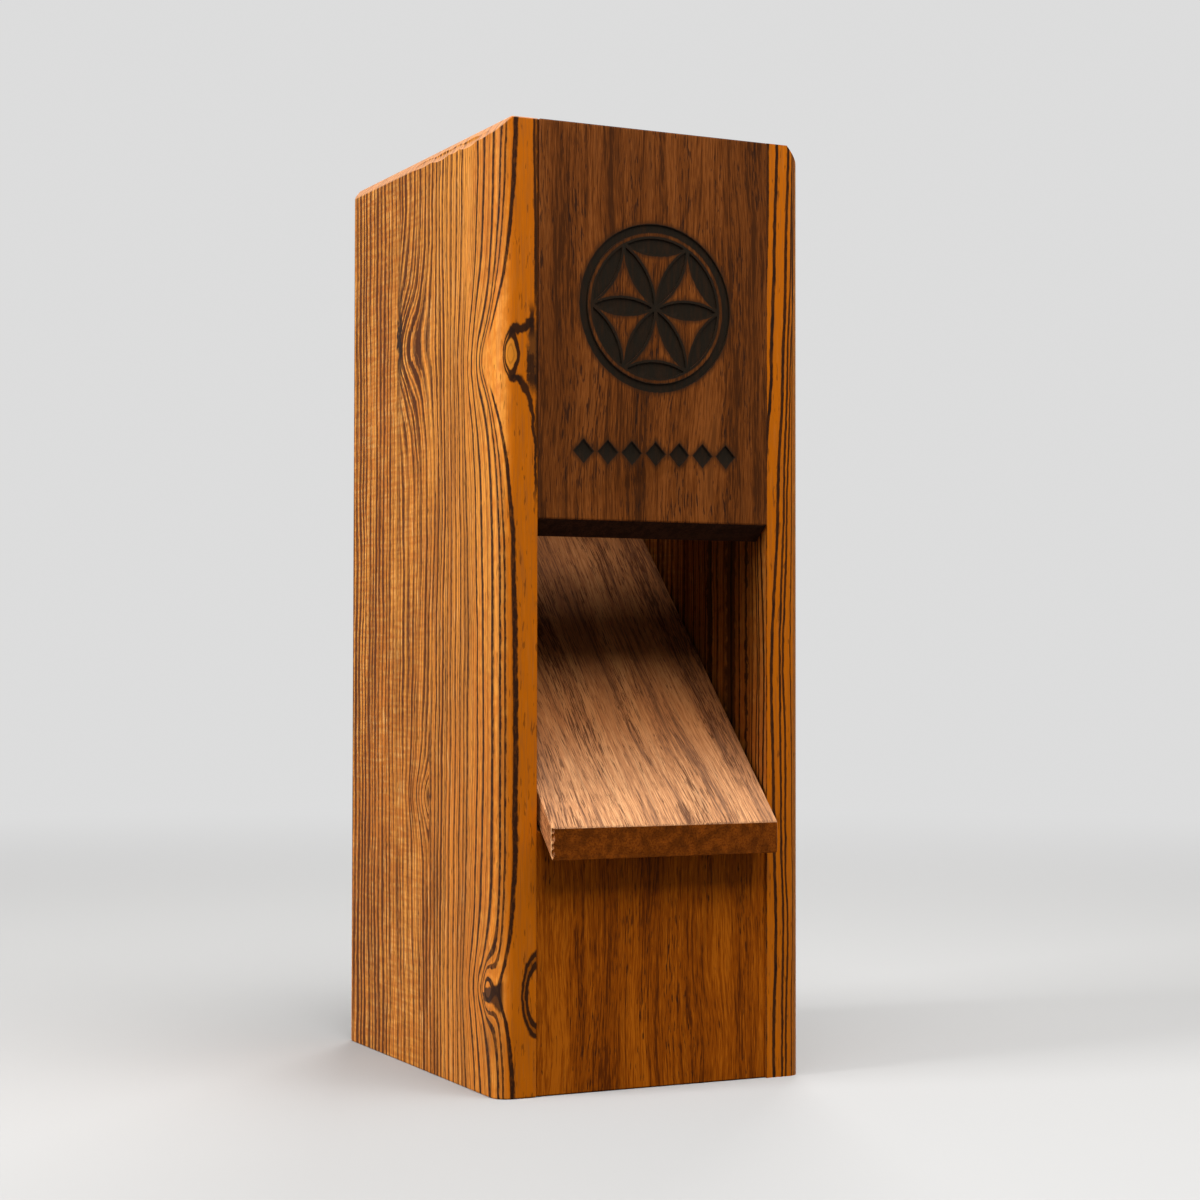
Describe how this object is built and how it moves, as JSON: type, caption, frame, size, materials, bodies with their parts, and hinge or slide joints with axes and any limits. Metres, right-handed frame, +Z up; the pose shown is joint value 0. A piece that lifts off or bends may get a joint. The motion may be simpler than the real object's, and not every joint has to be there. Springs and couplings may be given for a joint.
{
  "type": "dice tower",
  "caption": "Tall narrow hardwood dice tower, open at the top, with sloping boards inside and a ramp whose nose stands out at the front.",
  "frame": {"origin": "centre of the whole tower's footprint, ramp nose included, on the surface that it stands on", "axes": "+Z up, towards the open top; -Y towards the front, where dice roll out; +X to the right as seen from the front"},
  "size_m": [0.077, 0.1016, 0.2159],
  "materials": {
    "striped_wood": "oiled, satin, golden orange with near-black brown stripes",
    "front_wood": "oiled, satin, dark reddish brown",
    "lower_front_wood": "oiled, satin, warm orange brown",
    "ramp_wood": "oiled, satin, pinkish tan",
    "inner_wood": "oiled, satin, mid brown"
  },
  "bodies": {
    "root": {"side_wall_left": "striped_wood", "side_wall_right": "striped_wood", "front_panel_upper": "front_wood", "front_panel_lower": "lower_front_wood", "exit_ramp": "ramp_wood", "back_panel": "inner_wood", "bottom_panel": "inner_wood", "baffle_middle": "inner_wood", "baffle_upper": "inner_wood"}
  },
  "joints": []
}
